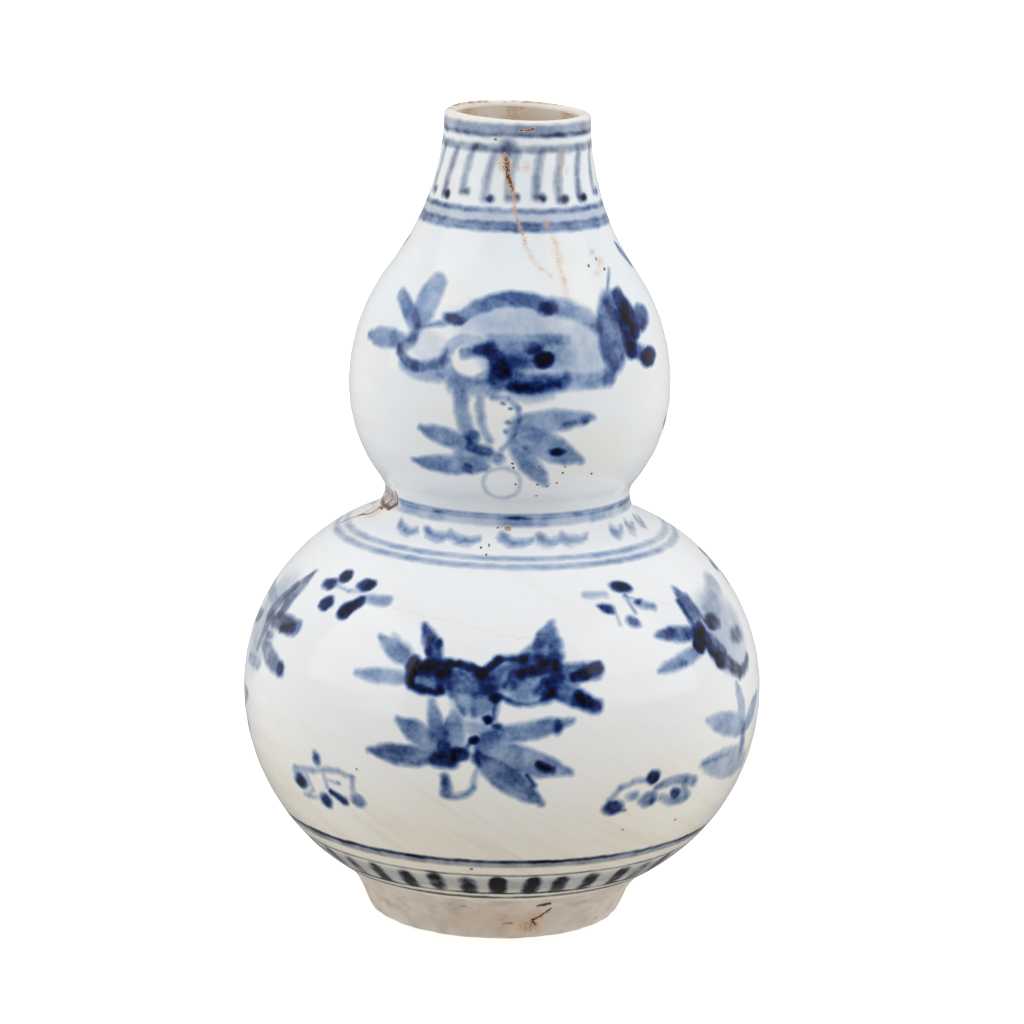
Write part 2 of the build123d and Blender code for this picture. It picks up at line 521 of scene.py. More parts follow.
def clay_white(surface, rise):
    """White of the glazed clay: bluish high up, warmer low down, with slanting streaks from the turning."""
    place = surface.place
    cloud = place.noise(0.03, 3.0)
    low = surface.height.math("MULTIPLY_ADD", cloud, 40.0, surface.height).rise(106, 28)
    high = surface.height.rise(90, 170)
    white = high.mix(tint(232, 234, 236), tint(229, 234, 238))
    warm = place.noise(0.04, 3.0).rise(0.42, 0.68, 0.0, 0.6) * surface.height.rise(112, 125)
    white = warm.mix(white, tint(232, 229, 221))
    white = low.mix(white, tint(229, 220, 199))
    girth = surface.angle * surface.radius
    level, steep = 0.82, 0.57
    along = girth * level - rise * steep
    beside = girth * steep + rise * level
    slant = rise.node("ShaderNodeCombineXYZ", None, {0: along, 1: beside})
    fine = slant.noise(1.0, 3.0, stretch=(0.035, 0.75, 1.0)).rise(0.5, 0.75)
    broad = slant.noise(1.0, 4.0, stretch=(0.03, 0.16, 1.0)).rise(0.48, 0.75)
    streaks = (fine * 0.3 + broad * 0.32) * (low * 0.85 + 0.15)
    return streaks.mix(white, tint(208, 186, 156))


# Strokes are placed along the girth from the middle of their paper, and along the outline from the widest
# place of the bulb; those on paper that goes by height have their height instead.
front_spray = [
    leaf((-32.8, 17.3), (-17.5, 18.2), 2.1, 0.28),
    blot((-22.5, 17.3), 2.8, 1.7, 0.12),
    leaf((-26.5, 27.6), (-16.5, 22.0), 2.9, 0.34),
    leaf((-23.0, 28.9), (-16.0, 23.0), 1.6, 0.16),
    leaf((-14.2, 32.6), (-9.8, 23.5), 2.7, 0.5),
    blot((-10.0, 28.0), 1.0, 1.2, 0.7),
    blot((-12.3, 28.6), 1.0, 1.6, 0.6),
    blot((-12.6, 25.6), 1.0, 1.3, 0.7),
    brush((-16.5, 20.7), (-8.0, 20.7), 1.9, 2.1, 0.95, soft=1.3),
    brush((-17.2, 17.6), (-16.2, 22.5), 1.4, 1.5, 0.8),
    brush((-12.0, 22.5), (-4.0, 23.2), 1.5, 0.9, 0.85),
    brush((-4.0, 23.1), (2.0, 21.2), 0.9, 1.2, 0.95),
    brush((-16.6, 16.2), (-8.6, 15.5), 1.0, 1.0, 0.85, bend=-0.6),
    blot((-12.8, 17.5), 3.6, 2.0, 0.4),
    brush((-8.6, 16.0), (-8.8, 19.5), 1.1, 1.4, 0.75),
    brush((-8.0, 18.4), (3.5, 17.8), 3.4, 3.0, 0.46, soft=1.4),
    brush((-7.5, 21.4), (1.5, 20.8), 1.4, 1.2, 0.4),
    brush((-7.5, 20.5), (-5.5, 14.8), 1.1, 1.0, 0.45),
    brush((1.0, 20.2), (6.0, 24.4), 1.2, 1.1, 0.75),
    brush((5.5, 24.6), (12.5, 25.6), 1.0, 0.9, 0.66),
    brush((3.5, 18.0), (11.0, 22.4), 2.8, 3.2, 0.44, soft=1.4),
    brush((3.0, 16.6), (10.0, 18.0), 1.5, 1.5, 0.36),
    brush((8.2, 18.0), (10.0, 21.5), 0.9, 0.9, 0.55),
    brush((12.5, 21.2), (20.0, 23.2), 1.7, 2.1, 0.84, soft=1.5),
    brush((12.4, 24.8), (20.6, 25.4), 1.3, 1.8, 0.66, soft=1.3),
    leaf((18.7, 34.4), (17.0, 24.5), 3.6, 0.46),
    blot((20.3, 28.4), 1.9, 2.4, 0.5),
    brush((12.5, 26.0), (16.5, 29.2), 1.2, 1.4, 0.42),
    blot((13.6, 17.4), 5.2, 3.7, 0.33, soft=1.6),
    brush((7.0, 15.4), (20.5, 16.0), 0.7, 0.8, 0.5, bend=-2.4),
    brush((16.0, 16.2), (18.2, 19.4), 1.1, 1.2, 0.6),
    brush((18.8, 15.4), (21.2, 20.4), 2.0, 2.0, 0.58, soft=1.4),
    brush((21.5, 21.0), (31.5, 21.2), 2.7, 2.4, 0.48),
    brush((26.0, 20.0), (31.4, 21.6), 1.5, 1.9, 0.85),
    brush((20.5, 19.0), (26.0, 18.2), 2.2, 1.4, 0.42),
    brush((20.5, 17.2), (32.2, 11.9), 2.6, 1.9, 0.55),
    brush((27.2, 15.2), (32.2, 11.8), 1.6, 1.5, 0.7),
    blot((0.6, 12.8), 5.4, 3.3, 0.36, soft=1.4),
    brush((-4.6, 14.5), (-2.6, 10.2), 0.9, 0.8, 0.4),
    brush((0.2, 14.5), (0.4, 10.5), 1.0, 0.8, 0.4),
    brush((6.0, 15.0), (5.7, 9.4), 0.8, 0.7, 0.5),
    blot((5.6, 14.6), 1.7, 1.3, 0.85),
    blot((4.1, 9.1), 1.3, 1.1, 0.95),
    blot((6.4, 7.6), 1.3, 1.1, 0.7),
    blot((0.6, 3.5), 1.3, 1.05, 0.9),
    brush((-2.0, 0.8), (0.0, 3.2), 0.6, 0.7, 0.6),
    brush((-2.0, 7.0), (7.0, 6.0), 1.8, 2.2, 0.22, soft=1.2),
    leaf((-28.0, -2.0), (-8.5, -2.0), 3.0, 0.46),
    brush((-23.0, -3.2), (-12.0, -3.2), 1.0, 1.2, 0.2),
    leaf((-19.6, 7.0), (-8.0, 1.0), 3.4, 0.4),
    brush((-10.7, 12.8), (-9.0, 4.5), 0.8, 2.8, 0.36),
    leaf((-5.0, 10.5), (-4.5, 0.0), 3.3, 0.36),
    blot((-7.0, 4.0), 4.5, 4.5, 0.16, soft=1.5),
    brush((-9.0, -2.2), (-5.0, -2.4), 2.2, 2.0, 0.66, soft=1.3),
    blot((-7.2, 0.8), 2.2, 2.4, 0.5),
    blot((-3.0, -0.4), 2.7, 2.0, 0.75),
    brush((-6.6, -7.0), (-6.3, -11.6), 1.1, 1.4, 0.5),
    brush((-6.0, -12.2), (0.6, -9.6), 1.0, 0.8, 0.3, bend=-1.0),
    brush((0.6, -9.6), (1.7, -4.0), 0.7, 0.6, 0.24),
    leaf((26.0, 8.6), (3.0, 4.2), 2.7, 0.36),
    blot((22.1, 7.3), 1.2, 1.8, 0.62),
    leaf((25.6, -5.2), (2.5, 1.5), 4.0, 0.34),
    brush((17.6, -3.0), (21.0, -4.4), 1.3, 1.2, 0.8),
    leaf((18.0, -13.6), (2.0, -1.0), 3.9, 0.44),
    brush((6.0, -4.0), (15.0, -10.5), 1.4, 1.8, 0.2),
    brush((16.2, -8.4), (14.6, -5.8), 0.8, 0.6, 0.65),
    brush((3.5, 2.8), (11.0, 1.0), 3.2, 2.8, 0.12, soft=1.5),
    brush((2.0, -0.5), (4.0, 5.0), 1.5, 1.3, 0.12),
    brush((1.5, 0.0), (2.2, -3.0), 0.7, 0.7, 0.55),
]
right_spray = [
    blot((-1.0, 25.0), 12.0, 11.0, 0.17, soft=4.0),
    leaf((-30.0, 28.5), (-15.0, 27.0), 2.4, 0.5),
    blot((-25.0, 28.5), 2.2, 1.4, 0.5),
    leaf((-34.0, 19.0), (-16.0, 22.4), 2.1, 0.32),
    blot((-25.0, 19.9), 2.2, 1.1, 0.3),
    leaf((-12.6, 40.0), (-13.0, 27.0), 3.0, 0.42),
    brush((-14.9, 36.0), (-15.4, 28.0), 0.9, 1.1, 0.6),
    brush((-10.2, 37.0), (-9.4, 29.0), 0.9, 0.9, 0.4),
    brush((-16.5, 23.5), (-13.0, 27.5), 2.2, 2.2, 0.8),
    brush((-13.5, 25.5), (-9.6, 18.2), 2.4, 2.5, 0.78, soft=1.3),
    brush((-9.6, 18.2), (-0.5, 12.8), 2.4, 1.9, 0.66, soft=1.3),
    brush((-0.5, 12.8), (8.0, 14.6), 1.7, 1.4, 0.5, bend=-1.0, soft=1.2),
    brush((-10.5, 25.0), (-6.0, 19.5), 1.2, 1.4, 0.42),
    blot((-5.8, 28.0), 3.8, 2.5, 0.8, soft=1.2),
    brush((-4.5, 30.5), (8.0, 36.5), 3.6, 3.4, 0.24, soft=1.6),
    blot((5.0, 21.6), 4.4, 2.4, 0.55, soft=1.6),
    leaf((-19.5, 3.2), (1.0, -3.0), 3.6, 0.24),
    leaf((-20.5, -8.5), (6.0, -14.0), 5.0, 0.2),
    brush((-20.0, -8.6), (-7.0, -8.4), 0.7, 0.9, 0.3),
    leaf((-3.5, 10.0), (0.0, -3.0), 2.6, 0.26),
    blot((1.0, -8.0), 2.0, 4.0, 0.34, soft=1.4),
    leaf((14.0, 3.0), (0.0, -4.0), 3.0, 0.26),
]
left_spray = [
    blot((5.0, 22.0), 10.0, 13.0, 0.19, soft=4.0),
    leaf((14.2, 39.5), (13.0, 25.0), 3.0, 0.46),
    brush((11.0, 33.5), (6.2, 24.0), 1.8, 2.6, 0.48),
    blot((10.6, 31.5), 1.4, 2.0, 0.35),
    brush((12.0, 23.5), (24.5, 24.0), 2.6, 2.4, 0.5),
    brush((18.2, 22.6), (23.5, 23.8), 1.4, 1.5, 0.6),
    leaf((27.0, 11.2), (11.5, 16.0), 2.9, 0.38),
    blot((25.0, 12.3), 2.1, 1.9, 0.75),
    brush((8.0, 23.0), (7.5, 14.0), 2.2, 1.6, 0.45),
    brush((11.0, 18.5), (14.0, 19.0), 1.4, 1.2, 0.4),
    brush((4.0, 27.0), (-12.0, 28.0), 1.8, 2.2, 0.3),
    brush((11.0, 10.5), (1.0, 9.5), 1.8, 1.8, 0.28),
    blot((2.0, 18.0), 6.0, 5.0, 0.12),
    brush((-2.0, 21.0), (-9.0, 19.0), 1.6, 2.0, 0.7),
    leaf((4.0, 0.0), (-10.0, -4.0), 3.2, 0.3),
    leaf((2.0, -9.0), (-14.0, -12.0), 4.0, 0.34),
]
left_sprig = [
    blot((2.0, -8.0), 1.3, 1.8, 0.6),
    *trail(
        [(-8.0, -13.0), (0.0, -12.0), (4.5, -10.4), (9.5, -9.9), (14.0, -11.0), (13.6, -15.0)],
        0.65, 0.24, 1.0,
    ),
    blot((-6.0, -16.4), 2.7, 2.1, 0.8, tilt=12, soft=1.3),
    blot((-6.5, -14.2), 2.6, 1.8, 0.2),
    *trail([(-3.0, -13.0), (-1.4, -18.0), (-4.5, -20.6)], 0.6, 0.2, 1.0),
    *trail([(-6.0, -20.5), (1.0, -20.0)], 0.6, 0.22, 1.0),
    blot((2.8, -20.2), 1.9, 2.0, 0.75, soft=1.2),
    brush((5.8, -17.0), (9.7, -18.6), 1.0, 1.3, 0.8),
    blot((14.5, -17.5), 2.3, 2.2, 0.34),
    *trail([(4.0, -11.0), (4.6, -16.0)], 0.55, 0.22, 0.9),
    *trail([(5.0, -13.4), (9.0, -13.6)], 0.5, 0.2, 0.9),
    blot((9.0, -13.5), 0.8, 0.6, 0.35),
]
right_sprig = [
    blot((-3.4, -9.0), 2.0, 2.0, 0.75),
    *trail([(-15.5, -14.0), (-13.2, -10.8), (-9.5, -9.3), (-5.0, -9.4)], 0.85, 0.24, 1.0),
    blot((-14.2, -16.6), 3.0, 2.3, 0.7),
    *trail([(-12.5, -17.6), (-10.6, -18.0)], 0.4, 0.5),
    blot((-9.0, -13.8), 2.0, 1.3, 0.36),
    blot((-3.6, -15.5), 2.9, 2.2, 0.52),
    blot((-2.5, -16.3), 1.1, 1.0, 0.45),
    brush((-1.5, -12.6), (11.5, -13.0), 1.1, 1.6, 0.32, bend=1.6),
    brush((1.0, -15.6), (10.5, -17.5), 1.1, 1.4, 0.3, bend=-1.4),
    brush((8.5, -12.5), (10.0, -17.8), 1.4, 1.2, 0.26),
    blot((12.6, -13.6), 1.2, 1.4, 0.22),
    blot((5.6, -15.4), 2.2, 1.6, 0.6, tilt=-35),
]
SPRAY_STEP = 144
# How far strokes reach on the two halves of a bulb, with 1 mm to spare at the joint.
LOWER_HALF = (-70, 1)
UPPER_HALF = (-1, 70)


def lower_sprays(surface, rise, half):
    """Ink of the sprays round the lower bulb, on one half of it."""
    ink = lay(None, surface.paper(-6, rise, every=SPRAY_STEP), front_spray, half)
    ink = lay(ink, surface.paper(67, rise), right_spray, half)
    return lay(ink, surface.paper(-79, rise), left_spray, half)


LOW_SWELL = 55.99
base_centre = (BELLY_RADIUS - LOW_SWELL, BELLY)
base_glaze = bpy.data.materials.new("painted_glaze_base")
surface = Surface(base_glaze)
rise = surface.along(base_centre, LOW_SWELL)
ink = lower_sprays(surface, rise, LOWER_HALF)
ink = lay(ink, surface.paper(-45, rise, every=SPRAY_STEP, floor=-85), left_sprig)
ink = lay(ink, surface.paper(38, rise, every=SPRAY_STEP, seam=-145), right_sprig)
uneven = surface.place.noise(0.05, 2.0)
level = rise + surface.sway[1] * 0.6
ink += ring_line(level, -34.3, 0.6, 0.9, 0.6) * uneven.rise(0.3, 0.6, 0.6, 1.05)
ink += ring_line(level, -35.8, 0.9, 0.34)
ink += ring_line(level, -40.6, 0.35, 0.42, 0.5)
ink += ring_line(level, -51.4, 0.6, 0.6, 0.7) * uneven.rise(0.35, 0.6, 0.4, 1.2)
ink += ring_line(level, -55.0, 0.9, 0.85, 0.8) * uneven.rise(0.35, 0.65, 1.2, 0.7)
ink += ring_line(level, -46.0, 3.4, 0.22, 2.0)
BLOCKS = 39
within, draws = surface.repeat(BLOCKS, 0.5)
girth = within * surface.radius + (draws[0] - 0.5) * 1.2 + surface.sway[0] * 0.6
block_paper = surface.flat(girth, level + draws[2] * 1.2)
block = touch(block_paper, brush((0.0, -42.8), (0.0, -48.8), 1.8, 1.8, 1.2, soft=1.3))
aside = abs(surface.angle)
front_block = aside.rise(0.14, 0.04, 0.0, 0.6)
loaded = draws[1].rise(0.0, 1.0, 0.5, 1.0) * aside.rise(0.9, 0.1, 0.6, 1.1) + front_block
ink += block * loaded * surface.place.noise(0.3, 2.0).rise(0.3, 0.65, 0.55, 1.15)
# Rust stains on the bare foot, and painted shade over its front.
foot_stains_and_shade = [
    brush((11.2, 11.0), (14.6, 11.7), 0.3, 0.55, 1.6, soft=0.5),
    *trail([(14.8, 9.4), (12.2, 7.2), (9.8, 6.2), (10.6, 4.6)], 0.28, 1.4, 0.5),
    brush((2.0, 5.0), (4.4, 5.2), 0.3, 0.4, 0.8, soft=0.5),
    blot((9.0, 4.0), 3.4, 1.8, 0.5, soft=1.2),
    blot((10.6, 6.4), 3.6, 2.8, 0.3, soft=1.4),
    # Painted shade: this wide faint blot darkens the front of the foot, laid in with the rust stains.
    blot((3.0, 5.6), 18.0, 6.5, 0.28, soft=5.0),
    brush((-4.4, 10.6), (-4.2, 7.8), 0.6, 0.5, 0.4),
    blot((-10.5, 3.8), 2.2, 1.8, 0.36, soft=1.2),
    blot((-18.0, 5.6), 1.6, 1.2, 0.3, soft=1.0),
    brush((42.0, 13.0), (40.0, 9.5), 0.4, 0.3, 0.8, soft=0.6),
    *trail([(23.5, 6.0), (27.5, 7.0), (31.0, 5.8)], 0.3, 0.5, 0.5),
]
rust = lay(None, surface.paper(0, surface.height), foot_stains_and_shade)
spots = [
    blot((-6.8, -37.7), 0.55, 0.5, 1.0, soft=0.3),
    blot((-39.0, -8.0), 0.4, 0.4, 0.8, soft=0.3),
    blot((34.0, -24.5), 0.5, 0.4, 0.8, soft=0.3),
    blot((52.0, -25.0), 0.5, 0.4, 0.7, soft=0.3),
]
rust = lay(rust, surface.paper(0, rise), spots)
glaze_edge = surface.height + surface.place.noise(0.12, 3.0) * 1.6
bare = glaze_edge.rise(14.9, 14.2)
vivid = surface.height.rise(26, 34, 0.4, 0.95)
glazed(surface, ink, rust, clay_white(surface, rise), bare=bare, vivid=vivid)

inside_glaze = bpy.data.materials.new("inside_glaze")
surface = Surface(inside_glaze)
cloud = surface.place.noise(0.08, 4.0).rise(0.35, 0.65)
beige = cloud.mix(tint(218, 205, 188), tint(233, 225, 214))
spots = surface.place.noise(0.35, 3.0).rise(0.66, 0.76) * 0.5
stained = surface.place.noise(0.11, 4.0).rise(0.42, 0.64, 0.0, 0.45) * surface.height.rise(200, 212)
glazed(surface, None, spots + stained, beige, rough=0.2)

biscuit = bpy.data.materials.new("bare_biscuit")
surface = Surface(biscuit)
everywhere = surface.height.rise(-2.0, -1.0)
glazed(surface, None, None, BISCUIT, bare=everywhere)

FOOT_EDGE = 33.73
RECESS_EDGE = 31.24
EDGE_ROUND = 1.0
FOOT_SLANT = 22.5
FOOT_HOLLOW = 20.0
RECESS = 7.0
RECESS_CORNER = 27.51
RECESS_ROUND = 2.0
RECESS_SLANT = 9.7
FLOOR = 13.0
FLOOR_CORNER = 30.84
FLOOR_ROUND = 5.0
INSIDE_SWELL = 51.81
foot_centre = (55.03, -2.45)
foot_turn = turn_towards(base_centre, foot_centre)
foot_edge = arc((FOOT_EDGE, EDGE_ROUND), EDGE_ROUND, -90, -FOOT_SLANT, 0.4)
foot_line = arc(foot_centre, FOOT_HOLLOW, 180 - FOOT_SLANT, 180 + foot_turn)
outside_line = arc(base_centre, LOW_SWELL, foot_turn, 0)
inside_centre = (BELLY_RADIUS - WALL - INSIDE_SWELL, BELLY)
floor_centre = (FLOOR_CORNER, FLOOR + FLOOR_ROUND)
floor_turn = turn_towards(inside_centre, floor_centre)
inside_top = turn_at(inside_centre, INSIDE_SWELL, BELLY - HALF_SLIP)
inside_line = arc(inside_centre, INSIDE_SWELL, inside_top, floor_turn, 4.0)
floor_corner = arc(floor_centre, FLOOR_ROUND, floor_turn, -90, 1.5)
recess_corner = arc((RECESS_CORNER, RECESS - RECESS_ROUND), RECESS_ROUND, 90, RECESS_SLANT, 1.0)
recess_edge = arc((RECESS_EDGE, EDGE_ROUND), EDGE_ROUND, 180 + RECESS_SLANT, 270, 0.4)
base_bowl = turned(
    "base_bowl_thrown",
    [
        (foot_edge, OUTSIDE),
        (straight(foot_edge[-1], foot_line[0], 1.5), OUTSIDE),
        (foot_line, OUTSIDE),
        (outside_line, OUTSIDE),
        *across_wall(outside_line[-1], inside_line[0]),
        (inside_line, INSIDE),
        (floor_corner, INSIDE),
        (straight(floor_corner[-1], (0.0, FLOOR)), INSIDE),
        (straight((0.0, RECESS), recess_corner[0]), BARE),
        (recess_corner, BARE),
        (straight(recess_corner[-1], recess_edge[0], 2.0), BARE),
        (recess_edge, BARE),
        (straight(recess_edge[-1], foot_edge[0]), BARE),
    ],
    [base_glaze, inside_glaze, biscuit],
)
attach(base_bowl, "root")
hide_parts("base_bowl")

# Slip in the joint round the belly: clay cream that holds the two halves of the lower bulb together. The
# glaze closes over it outside, and inside it stands out as a bead that was never wiped.
BEAD = 2.5
PROUD = 1.2


def luted(name, node, height, outside, inside):
    """Makes the slip ring of one joint, between the glaze outside and its bead inside."""
    low, high = height - HALF_SLIP, height + HALF_SLIP
    centre = inside + BEAD - PROUD
    swing = math.degrees(math.acos((BEAD - PROUD) / BEAD))
    bead = arc((centre, height), BEAD, 180 - swing, 180 + swing, 0.8)
    lines = [
        straight((outside, low), (outside, high)),
        straight((outside, high), (inside, high)),
        straight((inside, high), bead[0]),
        bead,
        straight(bead[-1], (inside, low)),
        straight((inside, low), (outside, low)),
    ]
    made = turned(name, [(line, 0) for line in lines], [slip_clay])
    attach(made, "root")
    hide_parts(node)


slip_clay = bpy.data.materials.new("fired_slip")
surface = Surface(slip_clay)
lumps = surface.place.noise(0.3, 4.0).rise(0.35, 0.65)
cream = lumps.mix(tint(201, 188, 170), tint(219, 210, 196))
glazed(surface, None, None, cream, rough=0.3)
luted("belly_slip_bead", "belly_slip", BELLY, BELLY_RADIUS - GLAZE, BELLY_RADIUS - WALL)

# Upper half of the lower bulb: it closes in to the waist, with two painted rings and a row of commas on its
# shoulder, sprays round its side and small clusters of touches between them.
WAIST = joint_height("shoulder_section", "upper_cup")
WAIST_RADIUS = 33.3
WAIST_HOLLOW = 7.0
SHOULDER_SWELL = 51.174
waist_centre = (WAIST_RADIUS + WAIST_HOLLOW, WAIST)
shoulder_centre = (BELLY_RADIUS - SHOULDER_SWELL, BELLY)
left_cluster = [
    blot((-9.0, 38.5), 2.6, 1.6, 0.85, tilt=15),
    blot((-5.0, 42.0), 2.2, 1.9, 0.95, tilt=25),
    blot((-6.0, 33.0), 2.5, 2.1, 0.95, tilt=28),
    blot((3.8, 41.0), 2.6, 1.9, 0.98, tilt=10),
    brush((1.8, 32.4), (5.2, 36.2), 2.2, 1.5, 0.98),
    brush((6.5, 37.2), (13.0, 37.6), 1.2, 1.6, 0.26),
    *trail([(-6.0, 39.0), (-0.5, 38.0), (4.0, 39.0)], 0.4, 0.24, 1.0),
]
right_cluster = [
    blot((2.0, 43.8), 2.8, 1.7, 0.95, tilt=-15),
    blot((-5.0, 38.0), 2.0, 1.3, 0.9, tilt=-25),
    blot((1.4, 33.2), 2.0, 1.4, 0.66, tilt=-25),
    blot((5.2, 38.6), 1.3, 0.9, 0.7),
    brush((5.0, 38.0), (9.5, 36.5), 0.9, 1.1, 0.34),
    brush((-9.5, 42.4), (-3.6, 42.0), 0.7, 0.9, 0.2),
    *trail([(2.0, 41.6), (2.8, 36.0)], 0.5, 0.34, 1.0),
    *trail([(1.6, 41.0), (5.0, 39.4)], 0.35, 0.3),
    *trail([(-3.0, 37.6), (-3.0, 33.0)], 0.4, 0.18),
]
shoulder_glaze = bpy.data.materials.new("painted_glaze_shoulder")
surface = Surface(shoulder_glaze)
rise = surface.along(shoulder_centre, SHOULDER_SWELL)
ink = lower_sprays(surface, rise, UPPER_HALF)
ink = lay(ink, surface.paper(-45, rise, every=SPRAY_STEP, floor=-85), left_cluster)
ink = lay(ink, surface.paper(33, rise, every=SPRAY_STEP, seam=-145), right_cluster)
uneven = surface.place.noise(0.05, 2.0).rise(0.25, 0.6, 0.75, 1.1)
level = rise + surface.sway[1] * 0.6
ink += ring_line(level, 52.5, 0.8, 0.26, 1.1) * uneven
ink += ring_line(level, 55.6, 0.75, 0.22, 1.1) * uneven
commas = [
    (-28.8, 3.4), (-18.8, 3.3), (-10.8, 3.9), (3.0, 4.0), (11.8, 2.9), (19.2, 3.7),
    (35.0, 2.4), (42.4, 2.2), (50.4, 2.2),
]
row = [brush((x - half, 110.9), (x + half, 110.6), 1.0, 0.4, 0.33, bend=-0.7, soft=0.9) for x, half in commas]
ink = lay(ink, surface.paper(0, surface.height, every=180), row)
hollow_rise = surface.along(waist_centre, WAIST_HOLLOW) + WAIST_HOLLOW * math.pi + surface.sway[1] * 0.5
patch = surface.place.noise(0.09, 2.0).rise(0.4, 0.62)
ink += ring_line(hollow_rise, 1.5, 1.2, 0.2) * (patch * 0.6 + 0.7)
ink += ring_line(hollow_rise, 0.3, 0.4, 0.3, 0.6) * (patch * 0.7 + 0.6)
chip = [
    blot((0.0, CHIP_HEIGHT), 8.4, 2.4, 0.32, soft=0.8),
    *trail([(-2.0, 118.2), (-3.6, 113.6)], 0.45, 0.9, 0.5),
    *trail([(3.0, 118.2), (1.6, 113.4)], 0.45, 1.0, 0.5),
    *trail([(-6.4, 113.4), (-1.5, 112.8), (4.5, 113.2), (7.6, 115.0), (7.4, 118.0)], 0.5, 1.5, 0.5),
    *trail([(-9.5, 106.5), (-7.4, 108.8), (-4.6, 109.6), (-3.0, 111.6), (0.5, 112.2)], 0.2, 2.0, 0.3),
    *trail([(-7.4, 108.8), (-8.6, 110.6)], 0.15, 1.8, 0.3),
    # The grey-brown patch below the chip is partly stain and partly painted shadow under the broken edge.
    blot((-3.0, 110.8), 5.0, 1.8, 0.36, soft=1.3),
    blot((2.0, 112.4), 2.4, 0.9, 0.24, soft=0.8),
]
rust = lay(None, surface.paper(CHIP_TURN, surface.height), chip)
iron = [
    blot((0.3, 113.0), 1.05, 0.75, 0.62, soft=0.4),
    blot((0.5, 113.4), 0.6, 0.35, 0.5, soft=0.3),
    blot((-6.4, 109.0), 0.28, 0.2, 1.6, soft=0.2),
    blot((-4.4, 109.4), 0.22, 0.2, 1.6, soft=0.2),
    blot((-5.2, 107.8), 0.22, 0.2, 1.6, soft=0.2),
    blot((-2.0, 113.0), 0.22, 0.2, 1.6, soft=0.2),
    blot((9.2, 111.6), 1.6, 0.6, 0.3, soft=0.5),
    *trail([(-37.0, 98.0), (-29.0, 95.0), (-12.0, 93.5), (4.0, 90.5), (12.0, 91.0)], 0.2, 0.26, 0.5),
    *trail([(-46.0, 92.0), (-34.0, 86.0), (-20.0, 84.5)], 0.3, 0.2, 0.8),
    *trail([(39.0, 98.0), (48.0, 95.0), (60.0, 97.0)], 0.2, 0.26, 0.5),
]
rust = lay(rust, surface.paper(0, surface.height), iron)
aside = abs(surface.angle)
greyed = aside.rise(0.9, 1.15) * aside.rise(1.8, 1.5) * rise.rise(2.0, 14.0)
glazed(surface, ink, rust, clay_white(surface, rise), vivid=1.0 - greyed * 0.4)
shoulder_turn = turn_towards(shoulder_centre, waist_centre)
inside_hollow = WAIST_HOLLOW + WALL
inside_swell = SHOULDER_SWELL - WALL
inside_top = 180 - turn_at(waist_centre, inside_hollow, WAIST - HALF_SLIP)
inside_foot = turn_at(shoulder_centre, inside_swell, BELLY + HALF_SLIP)
shoulder_arcs = [
    arc(shoulder_centre, SHOULDER_SWELL, 0, shoulder_turn),
    arc(waist_centre, WAIST_HOLLOW, 180 + shoulder_turn, 180, 0.8),
    arc(waist_centre, inside_hollow, inside_top, 180 + shoulder_turn, 3.0),
    arc(shoulder_centre, inside_swell, shoulder_turn, inside_foot, 4.0),
]


def between_joints(lower, upper, inside_upper, inside_lower):
    """Runs of a section with a joint at both ends: two arcs up its outside, and two down its inside."""
    return [
        (lower, OUTSIDE),
        (upper, OUTSIDE),
        *across_wall(upper[-1], inside_upper[0]),
        (inside_upper, INSIDE),
        (inside_lower, INSIDE),
        *across_wall(inside_lower[-1], lower[0]),
    ]


shoulder_runs = between_joints(*shoulder_arcs)
shoulder = turned("shoulder_section_thrown", shoulder_runs, [shoulder_glaze, inside_glaze, biscuit])
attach(shoulder, "root")
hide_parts("shoulder_section")

# Slip in the joint at the waist, where the two bulbs were set one on the other: the same clay cream, with its
# bead left standing inside.
luted("waist_slip_bead", "waist_slip", WAIST, WAIST_RADIUS - GLAZE, WAIST_RADIUS - WALL)

